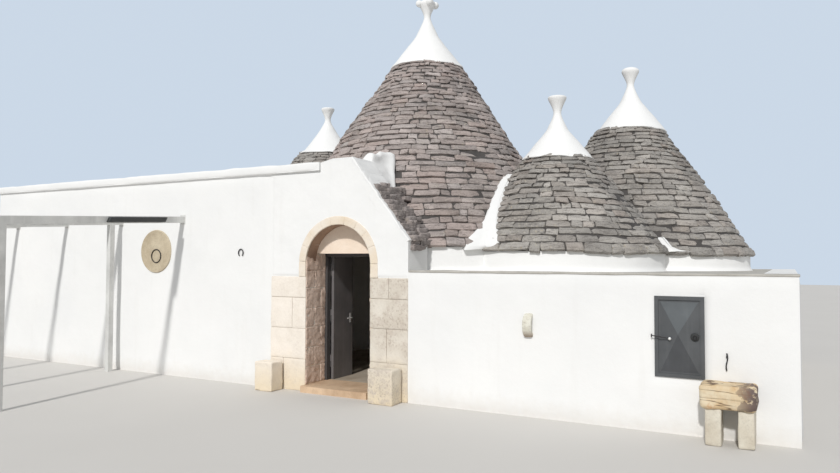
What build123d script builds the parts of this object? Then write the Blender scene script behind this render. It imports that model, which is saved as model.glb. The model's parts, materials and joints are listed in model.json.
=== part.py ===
from build123d import *
import math
import os

# Frame: x runs right along the front, y runs into the house, z is up.
# The origin is on the ground, at the middle of the doorway's front face.

# Fitting allowances
seat = 0.5  # bedding gap between a straight wall and a curved one
door_gap = 5.0  # clearance round the door leaf

# Straight walls
base_z = 0.0
right_end_x = 6240.0
wing_end_x = -8900.0
rear_end_x = -5900.0
front_wall_t = 350.0
side_wall_t = 400.0
wing_wall_t = 500.0
terrace_z = 1900.0
terrace_t = 180.0
wing_depth = 3200.0
left_wing_gap = 150.0
left_back_gap = 350.0
rear_back_gap = 60.0
wing_top_z = 3475.0
wing_roof_t = 175.0
wing_room_end_x = -3300.0
coping_t = 125.0
coping_lip = 40.0
coping_w = 420.0

# Porch with its arched doorway
porch_left_x = -1300.0
porch_right_x = 1250.0
porch_depth = 600.0
pier_z = 1800.0
doorway_w = 1220.0
spring_z = 2010.0
arch_ring_t = 130.0
arch_depth = 370.0
tympanum_t = 120.0
door_head_z = 2170.0
gable_peak_z = 3650.0
gable_left_x = -336.0
gable_peak_half = 180.0
gable_peak_x = 80.0
gable_foot_z = 2265.0
gable_steps = 12
ridge_right_x = 340.0
ridge_z = (2900.0, 3680.0)
ridge_pier_x = (180.0, 450.0)
ridge_pier_y = 940.0
ridge_pier_z = (3200.0, 3850.0)

# Door
threshold_z = 100.0
threshold_lip = 120.0
frame_w = 50.0
frame_t = 90.0
leaf_t = 45.0
leaf_open_deg = 90.0
handle_z = 1080.0
handle_r = 9.0
handle_len = 130.0
handle_back = 70.0
handle_reach = 25.0
handle_plate_w = 44.0
handle_plate_h = 160.0
handle_plate_t = 4.0
knuckle_r = 8.0
knuckle_len = 100.0
knuckle_gap = 2.0
pin_gap = 0.3  # between a frame knuckle and the leaf knuckle above it
hinge_plate_w = 35.0
hinge_plate_t = 6.0
hinge_heights = (350.0, 1100.0, 1850.0)
passage_play = 90.0
passage_head = 60.0

# Trulli: centre, drum radius, drum wall, eave height, bulge of the cone and its cap
eave_lip = 20.0
eave_t = 60.0
shell_t = 380.0
main = dict(
    x=-120.0, y=3180.0, drum=2800.0, wall=600.0, eave=2280.0,
    bulge_r=1790.0, bulge_z=4050.0, cap_r=640.0, cap_z=5880.0, cap_h=980.0, neck=62.0,
)
front = dict(
    x=2620.0, y=2850.0, drum=1740.0, wall=430.0, eave=2210.0,
    bulge_r=1125.0, bulge_z=3120.0, cap_r=530.0, cap_z=3870.0, cap_h=746.0, neck=62.0,
)
left = dict(
    x=-3850.0, drum=1650.0, wall=430.0, eave=3000.0,
    bulge_r=1130.0, bulge_z=3960.0, cap_r=540.0, cap_z=4720.0, cap_h=780.0, neck=66.0,
)
rear = dict(
    x=3420.0, drum=2100.0, wall=480.0, eave=2180.0,
    bulge_r=1330.0, bulge_z=3500.0, cap_r=580.0, cap_z=4600.0, cap_h=860.0, neck=62.0,
)
left["y"] = wing_depth + left_wing_gap + left["drum"]
house_depth = left["y"] + left["drum"] + left_back_gap + side_wall_t
rear["y"] = house_depth - side_wall_t - rear_back_gap - rear["drum"]

# Pinnacles
trumpet_h = 270.0
trumpet_r = 165.0
trumpet_rim = 40.0
cap_hollow = 15.0
cap_shoulder = (0.36, 0.6)  # the shoulder's shares of the cap's radius and height
throat_share = 0.56  # how far up the pinnacle its flare starts to open
knob_r = 75.0
knob_ring_r = 170.0
knob_count = 4

# Steel hatch in the right front wall
hatch_x = (4690.0, 5257.0)
hatch_z = (672.0, 1643.0)
hatch_play = 0.5
hatch_frame_w = 45.0
hatch_proud = 18.0
hatch_panel_t = 30.0
hatch_peak = 34.0

# Small fixed pieces
hitch_x = 3080.0
hitch_z = 1210.0
hitch_h = 330.0
hitch_w = 110.0
hitch_out = 120.0
hitch_hole_r = 45.0
hitch_hole_out = 40.0
horseshoe_x = -1955.0
horseshoe_z = 2178.0
horseshoe_r = 62.0
horseshoe_w = 20.0
horseshoe_t = 12.0
horseshoe_mouth_w = 68.0
horseshoe_mouth_h = 80.0
block_h = 450.0
block_d = 330.0
block_left_x = (-1250.0, -920.0)
block_right_x = (690.0, 1110.0)
bench_x = (5230.0, 5840.0)
bench_d = 400.0
bench_top_z = 665.0
bench_t = 255.0
bench_leg_w = 160.0
bench_leg_inset = 55.0
bench_leg_back = 40.0
bench_round_r = 90.0

# Pergola in front of the wing: rafters that fall outwards, each on a post
rafter_first_x = -3340.0
rafter_pitch = 1620.0
rafter_count = 4
rafter_z = 2830.0
rafter_h = 110.0
rafter_w = 90.0
rafter_len = 3350.0
rafter_fall_deg = 3.0
wall_plate_w = 130.0
wall_plate_h = 170.0
wall_plate_t = 14.0
post_w = 95.0
outer_post_y = -3200.0
inner_post_y = -240.0
inner_post_rafter = 1

# Floor
floor_z = threshold_z


def block(x0, x1, y0, y1, z0, z1):
    """A box between two corners."""
    return Pos((x0 + x1) / 2, (y0 + y1) / 2, (z0 + z1) / 2) * Box(x1 - x0, y1 - y0, z1 - z0)


def turned(half_section, trullo):
    """A half section in the X-Z plane, revolved about the trullo's axis."""
    solid = revolve(half_section, axis=Axis.Z)
    return Pos(trullo["x"], trullo["y"], 0) * solid


def cone_face(t, r_in, r_out_extra, filled):
    """Half section of a trullo's roof: an eave course, then a slightly bulging slope."""
    lip = t["drum"] + eave_lip + r_out_extra
    low = t["eave"]
    outer = ThreePointArc(
        (lip, low + eave_t),
        (t["bulge_r"] + r_out_extra, t["bulge_z"]),
        (t["cap_r"] + r_out_extra, t["cap_z"]),
    )
    if filled:
        top_edge = (t["cap_r"] + r_out_extra, t["cap_z"])
        rest = Polyline(top_edge, (0, t["cap_z"]), (0, low), (lip, low), (lip, low + eave_t))
        return make_face(Plane.XZ * (Curve() + [outer, rest]))
    inner = ThreePointArc(
        (t["cap_r"] - shell_t, t["cap_z"] - shell_t),
        (t["bulge_r"] - shell_t, t["bulge_z"] - shell_t / 3),
        (r_in, low),
    )
    ceiling = t["cap_z"] - shell_t
    top = Polyline((t["cap_r"], t["cap_z"]), (0, t["cap_z"]), (0, ceiling), (t["cap_r"] - shell_t, ceiling))
    foot = Polyline((r_in, low), (lip, low), (lip, low + eave_t))
    return make_face(Plane.XZ * (Curve() + [outer, top, inner, foot]))


def cone(t):
    return turned(cone_face(t, t["drum"] - t["wall"], 0, False), t)


def envelope(t):
    """Everything inside a trullo's outer face, with the bedding gap."""
    drum = Cylinder(t["drum"] + seat, t["eave"] - base_z, align=(Align.CENTER, Align.CENTER, Align.MIN))
    roof = turned(cone_face(t, 0, seat, True), t)
    return Pos(t["x"], t["y"], base_z) * drum + roof


def drum(t):
    ring = Cylinder(t["drum"], t["eave"] - base_z, align=(Align.CENTER, Align.CENTER, Align.MIN))
    ring -= Cylinder(t["drum"] - t["wall"], t["eave"] - base_z, align=(Align.CENTER, Align.CENTER, Align.MIN))
    return Pos(t["x"], t["y"], base_z) * ring


def cap(t, knobs):
    """A plastered cap that narrows to a neck, with a trumpet-shaped pinnacle."""
    neck_z = t["cap_z"] + t["cap_h"]
    shoulder = (cap_shoulder[0] * t["cap_r"], t["cap_z"] + cap_shoulder[1] * t["cap_h"])
    rim_z = neck_z + trumpet_h
    knob_z = rim_z + trumpet_rim
    foot = (t["cap_r"], t["cap_z"])
    throat = (t["neck"], neck_z)
    waist = (0.5 * (shoulder[0] + t["neck"]) - cap_hollow, 0.5 * (shoulder[1] + neck_z))
    flare = (0.5 * (t["neck"] + trumpet_r) - cap_hollow, neck_z + throat_share * trumpet_h)
    sides = [
        Line(foot, shoulder),
        ThreePointArc(shoulder, waist, throat),
        ThreePointArc(throat, flare, (trumpet_r, rim_z)),
        Polyline((trumpet_r, rim_z), (trumpet_r, knob_z), (0, knob_z), (0, t["cap_z"]), foot),
    ]
    solid = turned(make_face(Plane.XZ * (Curve() + sides)), t)
    if knobs:
        for i in range(knob_count):
            turn = math.radians(45 + 360 * i / knob_count)
            spot = Pos(t["x"] + knob_ring_r * math.cos(turn), t["y"] + knob_ring_r * math.sin(turn), rim_z)
            solid += spot * Sphere(knob_r)
        solid += Pos(t["x"], t["y"], knob_z + 0.5 * knob_r) * Sphere(knob_r)
    return solid


def save(shape, name):
    export_step(shape, f"parts/{name}.step")


os.makedirs("parts", exist_ok=True)

# Porch solids
half_door = doorway_w / 2
gable_right = []
run = (porch_right_x - gable_peak_x - gable_peak_half) / (gable_steps - 1)
rise = (gable_peak_z - gable_foot_z) / gable_steps
for i in range(gable_steps):
    riser_x = porch_right_x - i * run
    riser_z = gable_foot_z + i * rise
    gable_right += [(riser_x, riser_z), (riser_x, riser_z + rise)]
gable_outline = [
    (porch_left_x, pier_z), (porch_right_x, pier_z), *gable_right,
    (gable_peak_x - gable_peak_half, gable_peak_z),
    (gable_left_x, wing_top_z + coping_t), (gable_left_x, wing_top_z), (porch_left_x, wing_top_z),
]


def upright(outline, y0, y1):
    """An X-Z outline carried along y."""
    face = make_face(Plane.XZ * Polyline(*outline, close=True))
    return Pos(0, y1, 0) * extrude(face, y1 - y0)


def arch_opening(extra, y0, y1):
    """The doorway's arched outline, widened by extra, from the pier tops up."""
    r = half_door + extra
    legs = block(-r, r, y0, y1, pier_z, spring_z)
    crown = Pos(0, (y0 + y1) / 2, spring_z) * Rot(90, 0, 0) * Cylinder(r, y1 - y0)
    crown &= block(-r, r, y0, y1, spring_z, spring_z + r)
    return legs + crown


porch_prism = upright(gable_outline, 0, porch_depth)
porch_prism += block(porch_left_x, porch_right_x, 0, porch_depth, base_z, pier_z)
porch_cut = porch_prism + Pos(0, -porch_depth, 0) * porch_prism

door_cut = block(-half_door, half_door, -1, porch_depth + 1, base_z, door_head_z)
gable_wall = upright(gable_outline, 0, porch_depth)
gable_wall -= arch_opening(arch_ring_t, -1, arch_depth)
gable_wall -= door_cut
arch_ring = arch_opening(arch_ring_t, 0, arch_depth) - arch_opening(0, -1, arch_depth + 1)
tympanum = arch_opening(0, arch_depth - tympanum_t, arch_depth)
tympanum &= block(-half_door, half_door, 0, porch_depth, door_head_z, gable_peak_z)
pier_left = block(porch_left_x, -half_door, 0, porch_depth, base_z, pier_z)
pier_right = block(half_door, porch_right_x, 0, porch_depth, base_z, pier_z)
threshold = block(-half_door, half_door, -threshold_lip, porch_depth, base_z, threshold_z)

main_envelope = envelope(main)
front_envelope = envelope(front)
rear_envelope = envelope(rear)
porch_ridge = block(gable_left_x, ridge_right_x, porch_depth, main["y"], *ridge_z)
porch_ridge += block(*ridge_pier_x, ridge_pier_y, main["y"], *ridge_pier_z)
porch_ridge -= main_envelope

# Main trullo
passage_half = half_door + passage_play
passage_top = door_head_z + passage_head
passage = block(-passage_half, passage_half, porch_depth - 1, main["y"], base_z - 1, passage_top)
main_ring = drum(main) - porch_cut - passage
reach = main["drum"] + eave_lip
left_half = block(main["x"] - reach, main["x"], main["y"] - reach, main["y"] + reach, base_z, main["eave"])
main_drum_left = main_ring & left_half
main_drum_right = main_ring - left_half
main_cone = cone(main) - porch_cut
main_cone -= block(wing_end_x, porch_left_x, 0, wing_wall_t + seat, base_z, wing_top_z)
floor_r = main["drum"] - main["wall"] - seat
floor = Pos(main["x"], main["y"], base_z + floor_z / 2) * Cylinder(floor_r, floor_z)
floor += block(-passage_half + seat, passage_half - seat, porch_depth, main["y"], base_z, floor_z)

# Smaller trulli
front_drum = drum(front) - main_envelope
front_cone = cone(front) - main_envelope
rear_drum = drum(rear) - main_envelope - front_envelope
rear_cone = cone(rear) - main_envelope - front_envelope
left_drum = drum(left) - main_envelope
left_cone = cone(left) - main_envelope
left_envelope = envelope(left)

# Right block walls and terrace
hatch_hole = block(hatch_x[0], hatch_x[1], -1, front_wall_t + 1, *hatch_z)
right_front_wall = block(porch_right_x, right_end_x, 0, front_wall_t, base_z, terrace_z) - hatch_hole
inner_x0 = rear_end_x + side_wall_t
inner_x1 = right_end_x - side_wall_t
inner_y1 = house_depth - side_wall_t
right_end_wall = block(inner_x1, right_end_x, front_wall_t, inner_y1, base_z, terrace_z)
back_wall = block(rear_end_x, right_end_x, inner_y1, house_depth, base_z, terrace_z)
rear_end_wall = block(rear_end_x, inner_x0, wing_depth, inner_y1, base_z, terrace_z)
terrace_low = terrace_z - terrace_t
terrace = block(inner_x0, inner_x1, wing_depth, inner_y1, terrace_low, terrace_z)
terrace += block(porch_right_x, inner_x1, front_wall_t, wing_depth, terrace_low, terrace_z)
terrace -= block(inner_x0, porch_right_x, 0, wing_depth, terrace_low, terrace_z)
terrace -= main_envelope
terrace -= front_envelope
terrace -= rear_envelope
terrace -= left_envelope

# Flat-roofed wing
wing_front_wall = block(wing_end_x, porch_left_x, 0, wing_wall_t, base_z, wing_top_z)
wing_room_y1 = wing_depth - wing_wall_t
wing_end_wall = block(wing_end_x, wing_end_x + wing_wall_t, wing_wall_t, wing_room_y1, base_z, wing_top_z)
wing_back_wall = block(wing_end_x, wing_room_end_x, wing_room_y1, wing_depth, base_z, wing_top_z)
wing_fill = block(wing_room_end_x, gable_left_x, wing_wall_t, wing_depth, base_z, wing_top_z)
wing_fill -= main_envelope
wing_fill -= porch_cut
wing_roof = block(
    wing_end_x + wing_wall_t, wing_room_end_x, wing_wall_t, wing_room_y1,
    wing_top_z - wing_roof_t, wing_top_z,
)
coping_top = wing_top_z + coping_t
coping_y1 = wing_depth + coping_lip
coping = block(wing_end_x - coping_lip, gable_left_x, -coping_lip, coping_y1, wing_top_z, coping_top)
coping -= block(
    wing_end_x + coping_w, gable_left_x, coping_w, wing_depth - coping_w, wing_top_z - 1, coping_top + 1
)
coping -= main_envelope

# Door frame and two leaves, built shut and then turned open on their hinges
frame_y0 = porch_depth - frame_t
frame_in = half_door - frame_w
frame_head = door_head_z - frame_w
door_frame = block(-half_door, half_door, frame_y0, porch_depth, threshold_z, door_head_z)
door_frame -= block(-frame_in, frame_in, frame_y0 - 1, porch_depth + 1, threshold_z - 1, frame_head)
hinge_x = -frame_in + door_gap
hinge_y = porch_depth + knuckle_r + knuckle_gap
leaf_w = frame_in - door_gap - door_gap / 2
leaf_z0 = threshold_z + door_gap
leaf_z1 = frame_head - door_gap
leaf = block(hinge_x, hinge_x + leaf_w, porch_depth - leaf_t, porch_depth, leaf_z0, leaf_z1)


def hinge_half(z, side):
    """A knuckle on the hinge axis with its flat plate, on the frame (-1) or the leaf (1)."""
    barrel = Pos(hinge_x, hinge_y, z) * Cylinder(knuckle_r, knuckle_len)
    near, far = sorted((hinge_x + side * door_gap / 2, hinge_x + side * hinge_plate_w))
    plate_y = porch_depth + hinge_plate_t
    return barrel + block(near, far, porch_depth, plate_y, z - knuckle_len / 2, z + knuckle_len / 2)


for z in hinge_heights:
    lower = hinge_half(z, -1)
    door_frame += lower + mirror(lower, about=Plane.YZ)
    leaf += hinge_half(z + knuckle_len + pin_gap, 1)
handle_x = hinge_x + leaf_w - handle_back
handle_out = 2 * handle_r + handle_reach
face_y = porch_depth - leaf_t
stem_spot = Pos(handle_x, face_y - handle_out / 2, handle_z)
handle_stem = stem_spot * Rot(90, 0, 0) * Cylinder(handle_r, handle_out)
handle_grip = Pos(handle_x - handle_len / 2 + handle_r, face_y - handle_out + handle_r, handle_z)
handle_grip *= Rot(0, 90, 0) * Cylinder(handle_r, handle_len)
handle_plate = block(
    handle_x - handle_plate_w / 2, handle_x + handle_plate_w / 2, face_y - handle_plate_t, face_y,
    handle_z - handle_plate_h / 2, handle_z + handle_plate_h / 2,
)
handle = handle_stem + handle_grip + handle_plate
open_leaf = Pos(hinge_x, hinge_y, 0) * Rot(0, 0, leaf_open_deg) * Pos(-hinge_x, -hinge_y, 0)
leaf = open_leaf * leaf
handle = open_leaf * handle

# Hatch: a flat frame round a panel creased from corner to corner
hx0, hx1 = hatch_x[0] + hatch_play, hatch_x[1] - hatch_play
hz0, hz1 = hatch_z[0] + hatch_play, hatch_z[1] - hatch_play
hatch_frame = block(hx0, hx1, -hatch_proud, hatch_frame_w, hz0, hz1)
fx0, fx1 = hx0 + hatch_frame_w, hx1 - hatch_frame_w
fz0, fz1 = hz0 + hatch_frame_w, hz1 - hatch_frame_w
hatch_frame -= block(fx0, fx1, -hatch_proud - 1, hatch_frame_w + 1, fz0, fz1)
px0, px1 = fx0 + hatch_play, fx1 - hatch_play
pz0, pz1 = fz0 + hatch_play, fz1 - hatch_play
panel = block(px0, px1, 0, hatch_panel_t, pz0, pz1)
corners = [Vector(px0, 0, pz0), Vector(px1, 0, pz0), Vector(px1, 0, pz1), Vector(px0, 0, pz1)]
tip = Vector((px0 + px1) / 2, -hatch_peak, (pz0 + pz1) / 2)
sides = [Face(Wire.make_polygon([corners[i], corners[(i + 1) % 4], tip])) for i in range(4)]
base = Face(Wire.make_polygon(corners))
panel += Solid(Shell([*sides, base]))

# Small fixed pieces
hitch = Pos(hitch_x, 0, hitch_z) * Rot(0, 90, 0) * Cylinder(hitch_h / 2, hitch_w)
hitch &= block(hitch_x - hitch_w, hitch_x + hitch_w, -hitch_out, 0, hitch_z - hitch_h, hitch_z + hitch_h)
hitch -= Pos(hitch_x, -hitch_hole_out, hitch_z) * Rot(0, 90, 0) * Cylinder(hitch_hole_r, hitch_w * 2)
shoe_face = Circle(horseshoe_r) - Circle(horseshoe_r - horseshoe_w)
shoe_face -= Pos(0, -horseshoe_r) * Rectangle(horseshoe_mouth_w, horseshoe_mouth_h)
horseshoe = Pos(horseshoe_x, 0, horseshoe_z) * extrude(Plane.XZ * shoe_face, horseshoe_t)
door_blocks = [
    block(*block_left_x, -block_d, 0, base_z, block_h),
    block(*block_right_x, -block_d, 0, base_z, block_h),
]
bench_slab = block(*bench_x, -bench_d, 0, bench_top_z - bench_t, bench_top_z)
bench_slab = fillet(bench_slab.edges().filter_by(Axis.Y).sort_by(Axis.X)[-2:], bench_round_r)
leg_starts = (bench_x[0] + bench_leg_inset, bench_x[1] - bench_leg_inset - bench_leg_w)
bench_legs = [
    block(x, x + bench_leg_w, -bench_d + bench_leg_back, 0, base_z, bench_top_z - bench_t)
    for x in leg_starts
]

# Pergola: each rafter falls outwards from its wall plate to its own post
rafters = []
posts = []
for i in range(rafter_count):
    x = rafter_first_x - i * rafter_pitch
    rafter = Rot(rafter_fall_deg, 0, 0) * block(-rafter_w / 2, rafter_w / 2, -rafter_len, 0, -rafter_h, 0)
    rafter = Pos(x, 0, rafter_z) * rafter
    rafter += block(
        x - wall_plate_w / 2, x + wall_plate_w / 2, -wall_plate_t, 0,
        rafter_z - (rafter_h + wall_plate_h) / 2, rafter_z - (rafter_h - wall_plate_h) / 2,
    )
    rafter -= block(x - wall_plate_w, x + wall_plate_w, 0, wall_plate_h, rafter_z - wall_plate_h, rafter_z + 1)
    rafters.append(rafter)
    post_places = [outer_post_y]
    if i == inner_post_rafter:
        post_places.append(inner_post_y)
    for y in post_places:
        post = block(x - post_w / 2, x + post_w / 2, y - post_w / 2, y + post_w / 2, base_z, rafter_z)
        under = Pos(x, 0, rafter_z) * Rot(rafter_fall_deg, 0, 0)
        under *= block(-post_w, post_w, -rafter_len - post_w, post_w, -rafter_h, rafter_h + post_w)
        posts.append(post - under)

nodes = {
    "main_room_floor": floor,
    "threshold_stone": threshold,
    "door_pier_left": pier_left,
    "door_pier_right": pier_right,
    "gable_wall": gable_wall,
    "arch_ring": arch_ring,
    "tympanum": tympanum,
    "porch_ridge": porch_ridge,
    "door_frame": door_frame,
    "door_leaf_left": leaf,
    "door_leaf_right": mirror(leaf, about=Plane.YZ),
    "door_handle": handle,
    "main_drum_left": main_drum_left,
    "main_drum_right": main_drum_right,
    "main_cone": main_cone,
    "main_cap": cap(main, True),
    "front_drum": front_drum,
    "front_cone": front_cone,
    "front_cap": cap(front, False),
    "rear_drum": rear_drum,
    "rear_cone": rear_cone,
    "rear_cap": cap(rear, False),
    "left_drum": left_drum,
    "left_cone": left_cone,
    "left_cap": cap(left, False),
    "right_front_wall": right_front_wall,
    "right_end_wall": right_end_wall,
    "back_wall": back_wall,
    "rear_end_wall": rear_end_wall,
    "terrace_roof": terrace,
    "wing_front_wall": wing_front_wall,
    "wing_end_wall": wing_end_wall,
    "wing_back_wall": wing_back_wall,
    "wing_fill": wing_fill,
    "wing_roof": wing_roof,
    "wing_coping": coping,
    "hatch_frame": hatch_frame,
    "hatch_panel": panel,
    "hitching_stone": hitch,
    "horseshoe": horseshoe,
    "door_blocks": Compound(children=door_blocks),
    "bench_slab": bench_slab,
    "bench_legs": Compound(children=bench_legs),
    "pergola_rail": Compound(children=rafters),
    "pergola_post": Compound(children=posts),
}
for name, shape in nodes.items():
    save(shape, name)
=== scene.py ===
import json
import math

import bpy
import numpy as np
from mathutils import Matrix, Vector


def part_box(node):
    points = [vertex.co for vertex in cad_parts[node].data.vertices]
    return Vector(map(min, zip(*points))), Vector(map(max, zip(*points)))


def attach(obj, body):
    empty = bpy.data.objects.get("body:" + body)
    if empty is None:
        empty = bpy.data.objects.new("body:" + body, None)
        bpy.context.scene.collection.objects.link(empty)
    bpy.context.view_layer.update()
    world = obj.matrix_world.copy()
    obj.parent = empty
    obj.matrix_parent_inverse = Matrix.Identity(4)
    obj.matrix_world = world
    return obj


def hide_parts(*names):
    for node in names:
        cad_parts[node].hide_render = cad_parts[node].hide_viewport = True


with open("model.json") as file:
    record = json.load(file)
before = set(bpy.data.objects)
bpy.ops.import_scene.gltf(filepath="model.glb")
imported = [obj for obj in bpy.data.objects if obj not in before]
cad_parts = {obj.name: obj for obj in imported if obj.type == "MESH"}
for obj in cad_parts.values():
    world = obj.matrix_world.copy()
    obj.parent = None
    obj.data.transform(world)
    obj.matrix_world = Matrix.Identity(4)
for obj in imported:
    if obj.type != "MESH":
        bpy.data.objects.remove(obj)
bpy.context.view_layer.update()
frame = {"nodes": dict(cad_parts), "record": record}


# ---------------------------------------------------------------- the house's sizes, in metres

# Each trullo: the middle, the drum's radius, the eave's height, (radius, height) of the roof's outer face
# at its belly and at the cap's foot, the cap's height from there to the neck, and the neck's radius.
MAIN = dict(
    x=-0.12, y=3.18, drum=2.80, eave=2.28, belly=(1.79, 4.05), cap=(0.64, 5.88), cap_h=0.98, neck=0.062,
    swell=0.10, swell_z=(3.1, 5.7),
)
FRONT = dict(x=2.62, y=2.85, drum=1.74, eave=2.21, belly=(1.125, 3.12), cap=(0.53, 3.87), cap_h=0.746, neck=0.062)
REAR = dict(
    x=3.42, y=4.84, drum=2.10, eave=2.18, belly=(1.33, 3.50), cap=(0.58, 4.60), cap_h=0.86, neck=0.062,
    cap_shift=(0.045, 0.02),
)
LEFT = dict(
    x=-3.85, y=5.00, drum=1.65, eave=3.0, belly=(1.13, 3.96), cap=(0.54, 4.72), cap_h=0.78, neck=0.066,
    waist=0.42, flare=0.05, swell=0.07, swell_z=(2.9, 6.0),
)
SWELL_AT = math.radians(-151.6)  # the side on which the main and left roofs swell
EAVE_LIP, EAVE_T = 0.02, 0.06
SLAB_OUT = 0.042  # the slabs' faces before the roof's outer face
RIM_UP = 0.27  # a pinnacle's rim above its neck
HOUSE_X, BACK_Y, TERRACE_Z = (-5.90, 6.24), 7.40, 1.90
WING_X, WING_BACK, WING_TOP = -8.90, 3.20, 3.475
HALF_DOOR, SPRING_Z, PIER_Z, RING_T = 0.61, 2.01, 1.80, 0.13
PORCH_X, PORCH_Y = (-1.30, 1.25), 0.60
GABLE_LEFT_X, GABLE_PEAK_X, GABLE_TOP = -0.336, (-0.10, 0.26), 3.65
STEP_COUNT, STEP_FOOT = 12, 2.265
STEP_RUN = (PORCH_X[1] - GABLE_PEAK_X[1]) / (STEP_COUNT - 1)
STEP_RISE = (GABLE_TOP - STEP_FOOT) / STEP_COUNT
RIDGE_LEFT = -0.345
RUBBLE_TOP = 3.17  # the slab ends behind the gable's sloping edge stop here
X, Y, Z = np.eye(3)


# ---------------------------------------------------------------- numbers

def noise(points, size, seed=0):
    """Smooth random field from -1 to 1: random values at lattice corners one size apart, eased between."""
    q = np.asarray(points, float) / size
    cell = np.floor(q).astype(np.int64)
    f = ease(q - cell)
    total = 0.0
    for corner in np.ndindex(2, 2, 2):
        key = (cell + corner) * np.array([73856093, 19349663, 83492791])
        mixed = (key[..., 0] ^ key[..., 1] ^ key[..., 2] ^ (seed * 9176 + 77)) & 0x7FFFFFFF
        mixed = ((mixed ^ (mixed >> 13)) * 1274126177) & 0x7FFFFFFF
        value = ((mixed ^ (mixed >> 15)) & 0xFFFF) / 32767.5 - 1
        weight = np.prod(np.where(corner, f, 1 - f), axis=-1)
        total = total + weight * value
    return total


def rubble(points, size, seed=0):
    """Three octaves of the smooth field, each half the size and half the height of the last."""
    return sum(noise(points, size / 2**k, seed + 11 * k) / 2**k for k in range(3)) / 1.75


def arc_through(a, b, c):
    """Centre and radius of the circle through three (r, z) points."""
    (ax, ay), (bx, by), (cx, cy) = a, b, c
    d = 2 * (ax * (by - cy) + bx * (cy - ay) + cx * (ay - by))
    sa, sb, sc = ax * ax + ay * ay, bx * bx + by * by, cx * cx + cy * cy
    ux = (sa * (by - cy) + sb * (cy - ay) + sc * (ay - by)) / d
    uy = (sa * (cx - bx) + sb * (ax - cx) + sc * (bx - ax)) / d
    return ux, uy, math.hypot(ax - ux, ay - uy)


def slope_radius(t, z):
    """Radius of a roof's outer face at height z: a circular arc from the eave to the cap."""
    ux, uy, r = arc_through((t["drum"] + EAVE_LIP, t["eave"] + EAVE_T), t["belly"], t["cap"])
    return ux + np.sign(t["belly"][0] - ux) * np.sqrt(np.maximum(r * r - (z - uy) ** 2, 0))


def spot(t, angle, r):
    """x and y at an angle and a radius about a trullo's axis."""
    return t["x"] + r * np.cos(angle), t["y"] + r * np.sin(angle)


def full_turn(n):
    """Angles of a full turn in n steps."""
    return np.linspace(0, 2 * math.pi, n, endpoint=False)


def xyz(*parts):
    """Points from their coordinates, all spread to one shape."""
    return np.stack(np.broadcast_arrays(*parts), -1)


def ease(v):
    """A smooth step from 0 to 1 while v goes from 0 to 1."""
    v = np.clip(v, 0, 1)
    return v * v * (3 - 2 * v)


def main_roof_height(y):
    """Height of the main roof's outer face at y, straight in front of the trullo's axis."""
    z = np.linspace(MAIN["eave"] + EAVE_T, MAIN["cap"][1], 200)
    return np.interp(MAIN["y"] - y, slope_radius(MAIN, z)[::-1], z[::-1])


def uneven(t, angle, z):
    """How far a roof swells on the side towards the wing: most at its waist, nothing at eave and cap."""
    side = np.exp(-((np.angle(np.exp(1j * (angle - SWELL_AT))) / 0.7) ** 2))
    low, high = t.get("swell_z", (0, 1))
    return t.get("swell", 0.0) * side * ease((z - low) / 0.7) * ease((high - z) / 1.3)


def within(t, p, margin=0.0):
    """Which points lie inside a trullo's drum or roof."""
    z = p[..., 2]
    top = t["cap"][1] + t["cap_h"]
    r = np.where(z < t["eave"], t["drum"], slope_radius(t, np.clip(z, t["eave"], t["cap"][1])))
    r = np.where(z > t["cap"][1], t["cap"][0] * (top - z) / t["cap_h"], r)
    return np.hypot(p[..., 0] - t["x"], p[..., 1] - t["y"]) < r + margin


def outside(trulli, p, margin):
    """Which points lie outside all of the trulli."""
    return ~np.any([within(t, p, margin) for t in trulli], axis=0)


def gable_edge_x(z):
    """The gable's sloping edge on the right: a straight line over the outer corners of its steps."""
    run = (PORCH_X[1] - GABLE_PEAK_X[1]) / (GABLE_TOP - STEP_FOOT - STEP_RISE)
    return GABLE_PEAK_X[1] + (GABLE_TOP - z) * run


def ridge_side(y, z):
    """How far right the ridge's plaster reaches: from the gable's sloping edge straight back to the
    point of the roof where x + 0.5895 y = 1.011, a little hollow before it and full at it, and then
    back into the roof."""
    reach, lean = 1.011, 0.5895
    start = gable_edge_x(np.clip(z, RUBBLE_TOP, GABLE_TOP))
    r = slope_radius(MAIN, z) + 0.05
    wide = reach - MAIN["x"]
    b = lean * wide + MAIN["y"]
    end_y = (b - np.sqrt(b * b - (1 + lean**2) * (wide**2 + MAIN["y"] ** 2 - r * r))) / (1 + lean**2)
    way = np.maximum((y - PORCH_Y) / (end_y - PORCH_Y), 0)
    side = start + (reach - lean * end_y - start) * np.minimum(way, 1)
    full = 0.030 * np.exp(-(((way - 0.88) / 0.12) ** 2)) - 0.05 * np.clip(way * (1 - way), 0, 1)
    return side + full - 0.9 * np.maximum(y - end_y, 0)


def ridge_height(x, y):
    """Top of the ridge's plaster: the gable's height at its left, higher over its right half and at the roof."""
    lift = 0.12 * ease((x + 0.02) / 0.18) + 0.07 * ease((y - 0.80) / 0.12) * ease((x - 0.08) / 0.12)
    return GABLE_TOP + 0.035 + lift


def gable_top(x):
    """Height of the gable's outline at x: level, a flat peak, then twelve steps down to the right."""
    step = np.clip(np.floor((PORCH_X[1] - x) / STEP_RUN) + 1, 0, STEP_COUNT)
    slope = (GABLE_TOP - 3.6) / (GABLE_PEAK_X[0] - GABLE_LEFT_X)
    left = np.where(x < GABLE_LEFT_X, WING_TOP, 3.6 + (x - GABLE_LEFT_X) * slope)
    return np.minimum(np.minimum(left, GABLE_TOP), STEP_FOOT + STEP_RISE * step)


# ---------------------------------------------------------------- meshes

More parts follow.
